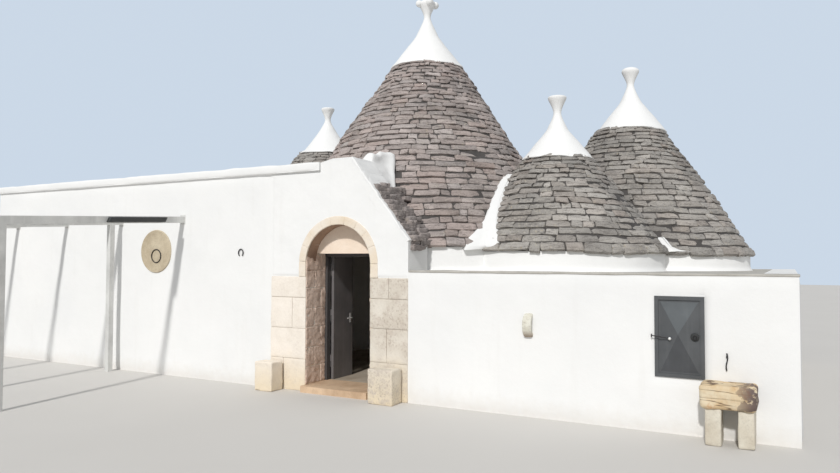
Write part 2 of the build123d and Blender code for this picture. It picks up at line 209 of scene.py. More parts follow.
def quads(rows, cols, around=False):
    """Quads over a grid of points stored row by row; around joins the last column to the first."""
    i, j = np.meshgrid(np.arange(rows - 1), np.arange(cols if around else cols - 1), indexing="ij")
    k = (j + 1) % cols
    return np.stack([i * cols + j, i * cols + k, (i + 1) * cols + k, (i + 1) * cols + j], -1).reshape(-1, 4)


def end_caps(rows, cols):
    """The first and the last ring of a tube's points, as two faces."""
    return [np.arange(cols)[::-1], np.arange(cols) + (rows - 1) * cols]


def only_used(points, faces):
    """The points that the faces use, and the faces in those points' numbers."""
    used, back = np.unique(faces, return_inverse=True)
    return points.reshape(-1, 3)[used], back.reshape(faces.shape)


def piece(name, points, faces, material, body="house", smooth=35.0, tone=None, extra_faces=()):
    """A mesh object from arrays, riding on a body, with an optional colour attribute per point."""
    mesh = bpy.data.meshes.new(name)
    face_list = np.asarray(faces).tolist() + [list(map(int, f)) for f in extra_faces]
    mesh.from_pydata(np.asarray(points, float).reshape(-1, 3).tolist(), [], face_list)
    mesh.validate()
    if tone is not None:
        layer = mesh.attributes.new("stone", "FLOAT_COLOR", "POINT")
        rgba = np.ones((len(mesh.vertices), 4))
        rgba[:, :3] = np.asarray(tone).reshape(-1, 3)
        layer.data.foreach_set("color", rgba.ravel())
    obj = bpy.data.objects.new(name, mesh)
    bpy.context.collection.objects.link(obj)
    mesh.materials.append(material)
    mesh.shade_smooth()
    if smooth:
        mesh.set_sharp_from_angle(angle=math.radians(smooth))
    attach(obj, body)
    return obj


def box_shell(nx, ny, nz):
    """Points of the surface of a box from -1 to 1, welded, and quads that face outwards."""
    counts = (nx, ny, nz)
    points, faces, start = [], [], 0
    for axis in range(3):
        a, b = (axis + 1) % 3, (axis + 2) % 3
        u, v = np.linspace(-1, 1, counts[a] + 1), np.linspace(-1, 1, counts[b] + 1)
        for side in (-1, 1):
            grid = np.zeros((len(u), len(v), 3))
            grid[..., a], grid[..., b], grid[..., axis] = u[:, None], v[None, :], side
            points.append(grid.reshape(-1, 3))
            f = quads(len(u), len(v)) + start
            faces.append(f[:, ::-1] if side > 0 else f)
            start += len(u) * len(v)
    points = np.concatenate(points)
    _, first, back = np.unique(np.round(points * 1e4).astype(int), axis=0, return_index=True, return_inverse=True)
    return points[first], back.reshape(-1)[np.concatenate(faces)]


def stones(centres, halves, corner, lumps, size, seed, n):
    """Rounded blocks: box points pulled in to a smaller box and pushed out again by the corner radius
    along the way to it, then moved along that way by the random field."""
    unit, faces = box_shell(*n)
    centres, halves = np.asarray(centres, float), np.asarray(halves, float)
    # crowd the grid lines towards the edges, so that the rounding shows
    crowded = np.sign(unit) * (1 - (1 - np.abs(unit)) ** 1.6)
    q = crowded[None] * halves[:, None]
    core = np.clip(q, -(halves - corner)[:, None], (halves - corner)[:, None])
    way = q - core
    far = np.linalg.norm(way, axis=-1, keepdims=True)
    way = np.where(far > 1e-9, way / np.maximum(far, 1e-9), 0)
    p = core + way * corner + centres[:, None]
    p = p + way * (lumps * rubble(p, size, seed))[..., None]
    return p, (faces + len(unit) * np.arange(len(centres))[:, None, None]).reshape(-1, 4)


def carried(profile, path, across, up):
    """A profile carried along a path: each path point plus the profile's two sizes times two directions."""
    p = path[:, None] + profile[..., 0:1] * across[:, None] + profile[..., 1:2] * up[:, None]
    rows, cols = p.shape[:2]
    return p, quads(rows, cols, around=True), end_caps(rows, cols)


def squared(turn, power):
    """Cosine and sine, each raised to the power under its own sign: a circle drawn out to a square."""
    return [np.sign(w) * np.abs(w) ** power for w in (np.cos(turn), np.sin(turn))]


# ---------------------------------------------------------------- materials

class Paint:
    """A node material in the making: each call adds one node and gives its output."""

    def __init__(self, name, roughness, metallic=0.0):
        self.mat = bpy.data.materials.new(name)
        self.mat.use_nodes = True
        self.tree = self.mat.node_tree
        self.bsdf = self.tree.nodes["Principled BSDF"]
        self.bsdf.inputs["Roughness"].default_value = roughness
        self.bsdf.inputs["Metallic"].default_value = metallic
        self.where = self.add("ShaderNodeTexCoord").outputs["Object"]

    def feed(self, socket, value):
        """Link a node's output to a socket, or set the socket's own value."""
        if isinstance(value, bpy.types.NodeSocket):
            self.tree.links.new(value, socket)
        else:
            socket.default_value = value

    def add(self, kind, **settings):
        """A node; names with a capital are its sockets, the others its properties."""
        n = self.tree.nodes.new(kind)
        for key, value in settings.items():
            if key[0].isupper():
                self.feed(n.inputs[key], value)
            else:
                setattr(n, key, value)
        return n

    def noise(self, scale, detail=4.0, rough=0.55, stretch=None):
        where = self.where
        if stretch:
            where = self.add("ShaderNodeMapping", Vector=where, Scale=stretch).outputs[0]
        n = self.add("ShaderNodeTexNoise", Vector=where, Scale=scale, Detail=detail, Roughness=rough)
        return n.outputs["Fac"]

    def ramp(self, fac, *stops):
        n = self.add("ShaderNodeValToRGB", Fac=fac)
        while len(n.color_ramp.elements) < len(stops):
            n.color_ramp.elements.new(0.5)
        for e, (at, colour) in zip(n.color_ramp.elements, stops):
            e.position = at
            e.color = (*colour, 1) if isinstance(colour, tuple) else (colour, colour, colour, 1)
        return n.outputs["Color"]

    def mix(self, fac, a, b):
        n = self.add("ShaderNodeMix", data_type="RGBA")
        for socket, value in ((n.inputs[0], fac), (n.inputs[6], a), (n.inputs[7], b)):
            self.feed(socket, (*value, 1) if isinstance(value, tuple) else value)
        return n.outputs[2]

    def blot(self, base, colour, field, *stops):
        """The base with a colour over it, as strong as the stops make of the field."""
        return self.mix(self.ramp(field, *stops), base, colour)

    def math(self, operation, a, b, clamp=False):
        n = self.add("ShaderNodeMath", operation=operation, use_clamp=clamp)
        self.feed(n.inputs[0], a)
        self.feed(n.inputs[1], b)
        return n.outputs[0]

    def plus(self, a, b):
        return self.math("ADD", a, b)

    def times(self, a, b):
        return self.math("MULTIPLY", a, b)

    def axis(self, letter):
        """The place along x, y or z, in metres."""
        return self.add("ShaderNodeSeparateXYZ", Vector=self.where).outputs[letter]

    def bump(self, *fields):
        """Bumps laid over each other: (field, strength, distance in metres)."""
        normal = None
        for field, strength, distance in fields:
            n = self.add("ShaderNodeBump", Strength=strength, Distance=distance, Height=field)
            if normal:
                self.tree.links.new(normal, n.inputs["Normal"])
            normal = n.outputs["Normal"]
        self.tree.links.new(normal, self.bsdf.inputs["Normal"])

    def colour(self, socket):
        self.tree.links.new(socket, self.bsdf.inputs["Base Color"])
        return self.mat


def shade_of(colour, factor):
    """A colour made darker or lighter by a factor."""
    return tuple(factor * c for c in colour)


def limewash(name="limewash", white=(0.86, 0.86, 0.85), grime=0.5):
    """Brushed limewash: near white, greyer in broad patches, splashed earth brown at the foot."""
    m = Paint(name, 0.88)
    broad, fine = m.noise(0.7, 3), m.noise(9, 5)
    shade = m.ramp(broad, (0.3, (white[0] * 0.94, white[1] * 0.945, white[2] * 0.95)), (0.7, white))
    streaks = m.noise(5, 4, 0.6, stretch=(1, 1, 0.12))
    shade = m.blot(shade, (0.62, 0.60, 0.55), streaks, (0.56, 0.0), (0.78, 0.22 * grime))
    splash = m.plus(m.axis("Z"), m.times(fine, 0.30))
    shade = m.blot(shade, (0.55, 0.46, 0.35), splash, (0.06, 0.55 * grime), (0.42, 0.0))
    shade = m.blot(shade, (0.60, 0.58, 0.53), m.noise(38, 3, 0.6), (0.70, 0.0), (0.76, 0.35 * grime))
    m.bump((broad, 0.35, 0.05), (fine, 0.30, 0.012), (m.noise(60, 4), 0.22, 0.004))
    return m.colour(shade)


def slab_stone(name, tint):
    """Weathered limestone slabs: a tone of its own for each slab, rain stains, pale and ochre lichen."""
    m = Paint(name, 0.93)
    stone = m.add("ShaderNodeAttribute", attribute_name="stone").outputs["Color"]
    tone, warm, lichen = tuple(m.add("ShaderNodeSeparateColor", Color=stone).outputs)
    base = m.ramp(tone, (0.0, shade_of(tint, 0.58)), (0.5, tint), (1.0, shade_of(tint, 1.50)))
    base = m.mix(m.times(warm, 0.45), base, (tint[0] * 1.20, tint[1], tint[2] * 0.91))
    base = m.blot(base, (0.105, 0.094, 0.088), m.noise(1.1, 4, 0.6), (0.36, 0.40), (0.52, 0.0))
    specks = m.ramp(m.noise(26, 5, 0.62), (0.50, 0.0), (0.66, 1.0))
    base = m.mix(m.times(specks, m.times(lichen, 0.75)), base, (0.50, 0.47, 0.40))
    ochre = m.ramp(m.noise(13, 4, 0.6), (0.62, 0.0), (0.70, 0.40))
    base = m.mix(m.times(ochre, lichen), base, (0.42, 0.32, 0.16))
    base = m.blot(base, (0.07, 0.062, 0.058), m.noise(70, 3, 0.6), (0.30, 0.55), (0.46, 0.0))
    beds = m.noise(2.4, 5, 0.6, stretch=(1, 1, 8))
    base = m.blot(base, (0.085, 0.072, 0.066), beds, (0.475, 0.0), (0.495, 0.6), (0.505, 0.6), (0.525, 0.0))
    m.bump((beds, 0.6, 0.03), (m.noise(18, 5, 0.6), 0.7, 0.02), (m.noise(85, 4, 0.6), 0.45, 0.006))
    return m.colour(base)


def cut_stone(name, pale, deep, pitted=0.5, rough=0.86):
    """Sawn or hewn limestone: two tones drifting into each other, pits and a dusty grain."""
    m = Paint(name, rough)
    drift, grain = m.noise(3.2, 5, 0.6), m.noise(42, 5, 0.65)
    base = m.blot(pale, deep, drift, (0.35, 0.0), (0.68, 1.0))
    base = m.blot(base, shade_of(deep, 0.42), grain, (0.30, 0.40 * pitted), (0.50, 0.0))
    base = m.blot(base, shade_of(deep, 0.66), m.noise(11, 4, 0.6), (0.60, 0.0), (0.74, 0.30))
    m.bump((drift, 0.3, 0.03), (grain, 0.55 * pitted + 0.15, 0.008), (m.noise(130, 3), 0.25, 0.002))
    return m.colour(base)


def pier_stone(name):
    """Creamy ashlar: pale, warmer at its foot, with brown pits that gather in patches."""
    m = Paint(name, 0.88)
    drift, grain = m.noise(2.4, 5, 0.6), m.noise(34, 5, 0.65)
    right = m.ramp(m.plus(m.axis("X"), 0.5), (0.2, 0.18), (0.9, 1.0))
    pale = m.mix(right, (0.93, 0.86, 0.78), (0.74, 0.69, 0.61))
    deep = m.mix(right, (0.84, 0.77, 0.68), (0.58, 0.52, 0.44))
    base = m.blot(pale, deep, drift, (0.35, 0.0), (0.70, 1.0))
    base = m.blot(base, (0.76, 0.64, 0.45), m.plus(m.axis("Z"), m.times(drift, 0.8)), (0.45, 0.75), (1.0, 0.0))
    where = m.times(m.ramp(m.noise(2.3, 3, 0.5), (0.40, 0.15), (0.54, 1.0)), right)
    base = m.mix(m.times(m.ramp(grain, (0.36, 0.70), (0.48, 0.0)), where), base, (0.40, 0.33, 0.27))
    smudge = m.ramp(m.noise(9, 5, 0.65), (0.50, 0.0), (0.62, 0.75))
    base = m.mix(m.times(smudge, where), base, (0.56, 0.49, 0.42))
    m.bump((drift, 0.3, 0.03), (grain, 0.55, 0.012), (m.noise(130, 3), 0.25, 0.002))
    return m.colour(base)


def bench_stone(name):
    """Honey limestone: ochre patches, long level cracks, and a dark purple-brown stain to the right."""
    m = Paint(name, 0.85)
    drift, fine = m.noise(4.5, 5, 0.6), m.noise(40, 5, 0.6)
    base = m.blot((0.72, 0.62, 0.45), (0.62, 0.46, 0.27), drift, (0.38, 0.0), (0.62, 1.0))
    base = m.blot(base, (0.55, 0.30, 0.14), m.noise(6.5, 4, 0.6), (0.56, 0.0), (0.66, 0.8))
    right = m.math("MULTIPLY", m.math("SUBTRACT", m.axis("X"), 5.48), 3.5, clamp=True)
    stain = m.ramp(m.plus(m.noise(8, 4, 0.6), m.times(right, 0.16)), (0.60, 0.0), (0.65, 0.9))
    base = m.mix(m.times(stain, right), base, (0.085, 0.055, 0.060))
    beds = m.noise(1.1, 2, 0.4, stretch=(1, 1, 13))
    base = m.blot(base, (0.16, 0.10, 0.06), beds, (0.478, 0.0), (0.494, 0.9), (0.506, 0.9), (0.522, 0.0))
    m.bump((beds, 0.7, 0.03), (drift, 0.4, 0.03), (fine, 0.5, 0.008))
    return m.colour(base)


def hitch_stone(name):
    """Weathered stone: pale above, darker and browner below about 1.15 m."""
    m = Paint(name, 0.88)
    drift, grain = m.noise(9, 5, 0.6), m.noise(42, 5, 0.65)
    base = m.blot((0.76, 0.75, 0.67), (0.62, 0.59, 0.49), drift, (0.35, 0.0), (0.68, 1.0))
    # a ramp ends at 1, so it reads the height above 1 m
    low = m.plus(m.math("SUBTRACT", m.axis("Z"), 1.0), m.times(drift, 0.10))
    base = m.blot(base, (0.38, 0.30, 0.23), low, (0.12, 1.0), (0.20, 0.0))
    base = m.blot(base, (0.26, 0.22, 0.18), grain, (0.30, 0.4), (0.50, 0.0))
    m.bump((drift, 0.4, 0.02), (grain, 0.5, 0.008))
    return m.colour(base)


def metal_paint(name, colour, roughness, rust=0.2, metallic=0.0):
    """Painted steel: faded in patches, with rain marks and a little rust."""
    m = Paint(name, roughness, metallic)
    base = m.ramp(m.noise(2.6, 4, 0.6), (0.3, shade_of(colour, 0.84)), (0.7, shade_of(colour, 1.16)))
    faded = tuple(min(1.45 * c + 0.02, 1.0) for c in colour)
    base = m.blot(base, faded, m.noise(9, 4, 0.6, stretch=(1, 1, 0.08)), (0.52, 0.0), (0.74, 0.35))
    base = m.blot(base, (0.19, 0.09, 0.045), m.noise(34, 5, 0.65), (0.64, 0.0), (0.72, rust))
    m.bump((m.noise(7, 3), 0.12, 0.008), (m.noise(160, 3), 0.12, 0.0015))
    return m.colour(base)


WHITE = limewash()
CAP_WHITE = limewash("cap_limewash", (0.88, 0.88, 0.87), 0.25)
# painted light: the drums' limewash is whiter and cleaner than the walls', to make up for the shade under the eaves
DRUM_WHITE_PAINTED_LIGHT = limewash("drum_limewash_painted_light", (0.96, 0.96, 0.95), 0.0)
MAIN_SLABS = slab_stone("main_slabs", (0.378, 0.338, 0.323))
GREY_SLABS = slab_stone("grey_slabs", (0.322, 0.305, 0.283))
# painted shade: the roof's own surface under the slabs is near black, so the gaps between the slabs read as shaded
ROOF_UNDER_PAINTED_SHADE = cut_stone("roof_underlay_painted_shade", (0.085, 0.077, 0.072), (0.05, 0.045, 0.042), 0.8)
MORTAR = cut_stone("lime_mortar", (0.72, 0.67, 0.59), (0.60, 0.53, 0.44), 0.5)
RING_STONE = cut_stone("ring_stone", (0.82, 0.75, 0.66), (0.77, 0.66, 0.52), 0.3)
PIER_STONE = pier_stone("pier_stone")
REVEAL_STONE = cut_stone("reveal_stone", (0.86, 0.69, 0.58), (0.62, 0.47, 0.38), 1.0)
# the arch's underside: brown bare stone, darkened further as painted shade under the arch
SOFFIT_STONE_AND_PAINTED_SHADE = cut_stone("soffit_stone_and_painted_shade", (0.40, 0.27, 0.19), (0.27, 0.17, 0.12), 0.6)
PANEL_STONE = cut_stone("panel_stone", (0.92, 0.79, 0.66), (0.84, 0.69, 0.55), 0.2)
BENCH_STONE = bench_stone("bench_stone")
HITCH_STONE = hitch_stone("hitch_stone")
LEG_STONE = cut_stone("leg_stone", (0.72, 0.68, 0.58), (0.56, 0.50, 0.40), 0.5)
STEP_STONE = cut_stone("threshold_limestone", (0.72, 0.53, 0.36), (0.52, 0.36, 0.23), 0.5, 0.7)
LIME_ROOF = cut_stone("terrace_lime", (0.52, 0.50, 0.46), (0.40, 0.38, 0.34), 0.4)
ROOM_FLOOR = cut_stone("room_floor_stone", (0.54, 0.47, 0.38), (0.40, 0.33, 0.25), 0.3, 0.55)
DOOR_PAINT = metal_paint("door_paint", (0.160, 0.150, 0.150), 0.5, 0.0)
# painted shade: the door frame's dark grey is made much darker than the door's, so that its sunlit face reads as
# shaded
FRAME_PAINTED_SHADE = metal_paint("frame_paint_painted_shade", (0.066, 0.061, 0.061), 0.75, 0.0)
HATCH_PAINT = metal_paint("hatch_steel", (0.080, 0.084, 0.088), 0.55, 0.25)
# the hatch panel's upper face: dust and painted light, a lighter copy of its paint; its lower face: painted shade,
# a darker copy
HATCH_DUST_AND_PAINTED_LIGHT = metal_paint("hatch_steel_dust_and_painted_light", (0.094, 0.104, 0.110), 0.6, 0.15)
HATCH_SHADE = metal_paint("hatch_steel_shaded", (0.060, 0.063, 0.068), 0.55, 0.15)
BLACK_STEEL = metal_paint("heater_black", (0.028, 0.029, 0.028), 0.45, 0.0)
IRON = metal_paint("old_iron", (0.035, 0.032, 0.032), 0.55, 0.6, 0.6)
RAIL_PAINT = metal_paint("pergola_paint", (0.62, 0.62, 0.60), 0.5, 0.3)
CANE = cut_stone("cane_weave", (0.62, 0.54, 0.40), (0.44, 0.36, 0.25), 0.8, 0.8)
# pale steel for the handle and knob, lighter and less metallic than steel, as a painted sheen in place of their
# glints
PALE_STEEL_AND_PAINTED_SHEEN = metal_paint("handle_steel_and_painted_sheen", (0.78, 0.77, 0.75), 0.30, 0.0, 0.35)

SLOT_PAINTS = {
    "whitewash": WHITE, "roof_slabs": ROOF_UNDER_PAINTED_SHADE, "cut_limestone": PIER_STONE, "terrace_lime": LIME_ROOF,
    "floor_stone": ROOM_FLOOR, "door_paint": DOOR_PAINT, "hatch_steel": HATCH_PAINT, "old_iron": IRON,
    "pergola_paint": RAIL_PAINT,
}
NODE_PAINTS = {
    "threshold_stone": STEP_STONE, "tympanum": PANEL_STONE, "arch_ring": MORTAR,
    "door_pier_left": MORTAR, "door_pier_right": MORTAR, "hitching_stone": HITCH_STONE,
    "bench_slab": BENCH_STONE, "bench_legs": LEG_STONE, "door_handle": PALE_STEEL_AND_PAINTED_SHEEN, "door_frame": FRAME_PAINTED_SHADE,
}
for row in frame["record"]["subparts"]:
    node = frame["nodes"][row["node"]]
    paint = NODE_PAINTS.get(row["node"]) or SLOT_PAINTS.get(row.get("material_slot")) or WHITE
    node.data.materials.clear()
    node.data.materials.append(paint)


# ---------------------------------------------------------------- roof slabs

# a slab's six points as shares of its depth and height, and its seven rings from end to end
SECTION = np.array([(0.0, 0.0), (0.78, -0.02), (0.985, 0.20), (1.0, 0.62), (0.86, 0.98), (0.0, 0.96)])
ALONG = np.array([-1.0, -0.94, -0.66, 0.0, 0.66, 0.94, 1.0])


def slab_roof(name, t, low, high, courses, long_low, long_high, material, keep, warm, seed):
    """Courses of split slabs laid round a roof. A slab is a tube along the course: seven rings of six
    points, the end rings drawn in and the face swelling a little between them. A point's place is
    (angle, radius, height); the radius is the roof's arc at the course plus the slab's own offset, and
    the height follows the wavy course."""
    rng = np.random.default_rng(seed)
    share = np.cumsum(np.linspace(1.28, 0.78, courses))
    beds = low + (high - low) * np.concatenate([[0], share]) / share[-1]
    rows = []
    for k, (z0, z1) in enumerate(zip(beds[:-1], beds[1:])):
        r = float(slope_radius(t, np.clip((z0 + z1) / 2, t["eave"] + EAVE_T, t["cap"][1])))
        length = long_low + (long_high - long_low) * k / courses
        widths = rng.uniform(0.45, 1.75, max(int(round(2 * math.pi * r / length)), 9))
        edges = np.concatenate([[0], np.cumsum(widths / widths.sum())]) * 2 * math.pi + rng.uniform(0, 6.28)
        rows.append(xyz((edges[1:] + edges[:-1]) / 2, (edges[1:] - edges[:-1]) / 2, r, z0, z1 - z0, float(k)))
    slab = np.concatenate(rows)
    mid = xyz(*spot(t, slab[:, 0], slab[:, 2]), slab[:, 3] + slab[:, 4] / 2)
    chosen = keep(mid)
    slab, mid = slab[chosen], mid[chosen]
    n, rings, sides = len(slab), len(ALONG), len(SECTION)
    each = (n, 1, 1)
    centre, half, r, z0, tall, course = slab.T[..., None, None]
    u = ALONG[None, :, None]
    d, h = SECTION[None, None, :, 0], SECTION[None, None, :, 1]
    drawn = np.where(np.abs(u) > 0.97, 1.0, 0.0)
    d = d - (0.05 * drawn + 0.06 * u**4) * d
    h = 0.5 + (h - 0.5) * (1 - 0.15 * drawn - 0.03 * u**2)
    joint = rng.uniform(0.0, 0.009, each)
    slant = rng.normal(0, 0.018, each) / r * np.abs(u)
    angle = centre + u * (half - joint / r) + slant * (h - 0.5)
    out = SLAB_OUT + np.clip(rng.normal(0, 0.009, each), -0.014, 0.02) + np.where(course == 0, 0.02, 0)
    steep = (t["drum"] + EAVE_LIP - t["cap"][0]) / (t["cap"][1] - t["eave"])
    lean = -0.75 * steep * tall
    full = tall * rng.uniform(0.96, 1.09, each)
    # the lowest course hangs over the eave, and reaches up by as much as it sags
    sag = np.where(course == 0, rng.uniform(-0.05, 0.0, each), rng.uniform(-0.010, 0.010, each))
    full = full - np.where(course == 0, sag, 0)
    jitter = rng.normal(0, 0.0050, (n, rings, sides, 2)) * np.where(d > 0.1, 1, 0)[..., None]
    radius = r + out - 0.2 * (1 - d) + lean * (h - 0.5) + jitter[..., 0]
    radius = radius + 0.006 * rng.normal(0, 1, each) * u
    tilt = rng.normal(0, 0.006, each) * u
    z = z0 + sag + h * full + tilt + jitter[..., 1] - 0.012 * d
    radius = radius + uneven(t, angle, z)
    x, y = spot(t, angle, radius)
    wave = 0.020 * noise(xyz(x, y, z * 0.6), 0.8, seed)
    p = xyz(x, y, z + wave * np.clip((t["cap"][1] - z) / 0.4, 0, 1))
    start = rings * sides * np.arange(n)[:, None]
    faces = (quads(rings, sides, around=True)[:, ::-1] + start[..., None]).reshape(-1, 4)
    head, tail = end_caps(rings, sides)
    caps = np.concatenate([head[::-1] + start, tail[::-1] + start])
    # painted light: slabs below 3.6 m are made lighter, most towards the eave
    painted_sunlight = 0.16 * np.clip((3.6 - mid[:, 2]) / 1.2, 0, 1)
    tone = np.clip(0.51 + painted_sunlight + 0.16 * rng.normal(0, 1, n) + 0.14 * noise(mid, 1.3, seed + 5), 0.1, 0.97)
    hue = np.clip(warm + 0.3 * rng.normal(0, 1, n) + 0.3 * noise(mid, 1.0, seed + 6), 0, 1)
    moss = np.clip(0.35 + 0.5 * noise(mid, 0.9, seed + 7) + 0.2 * rng.normal(0, 1, n), 0, 1)
    tones = np.repeat(xyz(tone, hue, moss)[:, None], rings * sides, 1)
    piece(name, p, faces, material, tone=tones, extra_faces=caps, smooth=40)


def clear_of(*others):
    """A test for slab middles: outside the other trulli, the wing, the gable and the ridge block."""
    def test(mid):
        x, y, z = mid.T
        wing = (x < GABLE_LEFT_X) & (y < WING_BACK) & (z < WING_TOP - 0.02)
        gable = (np.abs(x + 0.025) < 1.275) & (y < PORCH_Y - 0.05) & (z < gable_top(x) - 0.05)
        ridge = (x > -0.31) & (x < ridge_side(y, z) - 0.03) & (y < 1.30)
        ridge &= (z < ridge_height(x, y) - 0.04) & (z > RUBBLE_TOP - 0.02)
        return outside(others, mid, -0.03) & ~(wing | gable | ridge)
    return test


slab_roof("main_slabs", MAIN, 2.30, 5.86, 37, 0.40, 0.20, MAIN_SLABS, clear_of(FRONT, REAR, LEFT), 0.45, 3)
slab_roof("front_slabs", FRONT, 2.23, 3.86, 18, 0.36, 0.20, GREY_SLABS, clear_of(MAIN, REAR), 0.15, 4)
slab_roof("rear_slabs", REAR, 2.20, 4.59, 25, 0.38, 0.20, GREY_SLABS, clear_of(MAIN, FRONT), 0.2, 5)
slab_roof("left_slabs", LEFT, 3.03, 4.71, 18, 0.34, 0.20, GREY_SLABS, clear_of(MAIN), 0.25, 6)


# ---------------------------------------------------------------- plaster caps and pinnacles

def cap_outline(t, top):
    """Radius against height from the plaster's ragged foot to the pinnacle's top, smoothed."""
    r0, z0 = t["cap"]
    neck_z = z0 + t["cap_h"]
    rim = neck_z + RIM_UP
    foot_r = float(slope_radius(t, z0 - 0.07)) + 0.055 + t.get("flare", 0.0)
    waist_r, neck_r = t.get("waist", 0.36) * r0 + 0.004, t["neck"]
    knots = [
        (foot_r - 0.10, z0 - 0.085), (foot_r, z0 - 0.075), (r0 + 0.03, z0 + 0.01), (waist_r, z0 + 0.6 * t["cap_h"]),
        (neck_r * 1.5, neck_z - 0.09), (neck_r, neck_z), (neck_r * 1.12, neck_z + 0.07),
        (0.112, rim - 0.10), (0.158, rim - 0.015), (0.167, rim + 0.02),
    ]
    if top == "disc":
        knots += [(0.15, rim + 0.045), (0.09, rim + 0.03), (0.0, rim + 0.025)]
    else:
        knots += [(0.155, rim + 0.055), (0.10, rim + 0.085), (0.0, rim + 0.092)]
    knots = np.array(knots)
    fine = []
    for a, b in zip(knots[:-1], knots[1:]):
        steps = max(int(np.hypot(*(b - a)) / 0.022), 2)
        fine.append(a + (b - a) * np.linspace(0, 1, steps, endpoint=False)[:, None])
    line = np.concatenate(fine + [knots[-1:]])
    for _ in range(3):
        line[1:-1] = 0.25 * line[:-2] + 0.5 * line[1:-1] + 0.25 * line[2:]
    return line


def plaster_cap(name, t, top, node, seed):
    """A lime cap: its outline turned about the trullo's axis, in ridges and dents of the random field."""
    line = cap_outline(t, top)
    sides, rows = 72, len(line) - 1
    angle, r, z = full_turn(sides), line[:, :1], line[:, 1:]
    base = xyz(*spot(t, angle, r), z)
    fade = np.clip(r / 0.1, 0, 1)
    r = r + fade * (0.012 * rubble(base, 0.22, seed) * np.clip(r / 0.2, 0.35, 1))
    ragged = np.clip((t["cap"][1] + 0.05 - z) / 0.1, 0, 1)
    z = z + ragged * 0.040 * rubble(base, 0.3, seed + 3)
    aside = t.get("cap_shift", (0.0, 0.0))
    axis = dict(x=t["x"] + aside[0], y=t["y"] + aside[1])
    p = xyz(*spot(axis, angle, r), z)[:-1].reshape(-1, 3)
    p = np.concatenate([p, [[axis["x"], axis["y"], line[-1, 1]]]])
    foot, ring = end_caps(rows, sides)
    tip = np.stack([ring, np.roll(ring, -1), np.full(sides, rows * sides)], -1)
    faces = quads(rows, sides, around=True)
    obj = piece(name, p, faces, CAP_WHITE, extra_faces=[*tip, foot], smooth=50)
    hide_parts(node)


plaster_cap("main_plaster_cap", MAIN, "dome", "main_cap", 21)
plaster_cap("front_plaster_cap", FRONT, "disc", "front_cap", 22)
plaster_cap("rear_plaster_cap", REAR, "dome", "rear_cap", 23)
plaster_cap("left_plaster_cap", LEFT, "disc", "left_cap", 24)

rim_z = MAIN["cap"][1] + MAIN["cap_h"] + RIM_UP
knobs = xyz(*spot(MAIN, np.radians(45 + 90 * np.arange(4)), 0.165), rim_z + 0.01)
knobs = np.concatenate([knobs, [[MAIN["x"], MAIN["y"], rim_z + 0.085]]])
p, f = stones(knobs, np.full((5, 3), 0.07), 0.0699, 0.006, 0.06, 31, n=(7, 7, 7))
piece("pinnacle_knobs", p, f, CAP_WHITE, smooth=60)


# ---------------------------------------------------------------- plaster in the valleys

def valley(name, a, b, side, z_low, z_high, width, foot, seed, blunt=0.0):
    """Plaster in the valley of two roofs, as a shell that lies on both slopes. At each height it starts
    where the two circles meet and goes round a to the left and round b to the right, each way by its
    half width over the radius. Its thickness is a half circle over the width, the crease is filled,
    and the half widths swell towards the foot; blunt is the share of the height that has the full swell."""
    rows, cols = 60, 26
    z, u = np.linspace(z_low, z_high, rows)[:, None], np.linspace(-1, 1, cols)[None]
    ra, rb = slope_radius(a, z) + SLAB_OUT, slope_radius(b, z) + SLAB_OUT
    gap = np.array([b["x"] - a["x"], b["y"] - a["y"]])
    dist = np.hypot(*gap)
    e = gap / dist
    along = (dist**2 + ra**2 - rb**2) / (2 * dist)
    off = np.sqrt(np.maximum(ra**2 - along**2, 0.0)) * side
    x0 = a["x"] + along * e[0] - off * e[1]
    y0 = a["y"] + along * e[1] + off * e[0]
    s = (z_high - z) / (z_high - z_low)
    tip = np.clip(s / 0.06 + 0.2, 0, 1)
    flare = np.clip((s - 0.55) / (0.45 - blunt), 0, 1) ** 2
    width_a, width_b = (w * (0.8 + 0.4 * s) * tip + f * flare for w, f in zip(width, foot))
    share = ease(0.5 + u / 0.5)[..., None]
    ends = np.clip((1 - s) / 0.04, 0, 1)

    def layer(thick):
        """Points of the shell at a thickness over both slopes, eased across the crease."""
        turn_a = np.arctan2(y0 - a["y"], x0 - a["x"]) + side * np.maximum(-u, 0) * width_a / ra
        turn_b = np.arctan2(y0 - b["y"], x0 - b["x"]) - side * np.maximum(u, 0) * width_b / rb
        flat = xyz(*spot(a, turn_a, ra + thick)) * (1 - share) + xyz(*spot(b, turn_b, rb + thick)) * share
        return np.concatenate([flat, np.broadcast_to(z[..., None], (rows, cols, 1))], -1)

    crease = 0.05 * np.exp(-((np.where(u < 0, width_a, width_b) * u) / 0.08) ** 2)
    skin = layer(0.034 * np.sqrt(np.maximum(1 - u**2, 0)) * ends + crease * ends - 0.012)
    skin = skin + 0.016 * rubble(skin, 0.22, seed)[..., None] * np.array([1.0, 1.0, 1.4])
    p = np.concatenate([skin, layer(-0.10)[:, ::-1]], 1)
    faces, caps = quads(rows, 2 * cols, around=True), end_caps(rows, 2 * cols)
    if side > 0:
        faces, caps = faces[:, ::-1], [c[::-1] for c in caps]
    piece(name, p, faces, WHITE, extra_faces=caps, smooth=60)


valley("front_valley_plaster", MAIN, FRONT, -1, 2.235, 3.56, (0.13, 0.07), (0.17, 0.15), 41, blunt=0.14)
valley("rear_valley_plaster", FRONT, REAR, -1, 2.205, 2.45, (0.05, 0.05), (0.0, 0.26), 42)
valley("left_valley_plaster", MAIN, LEFT, -1, 3.02, 3.30, (0.1, 0.1), (0.1, 0.1), 43)
valley("back_valley_plaster", MAIN, REAR, 1, 2.22, 2.9, (0.12, 0.12), (0.1, 0.1), 44)


# ---------------------------------------------------------------- plastered walls, copings and ridge

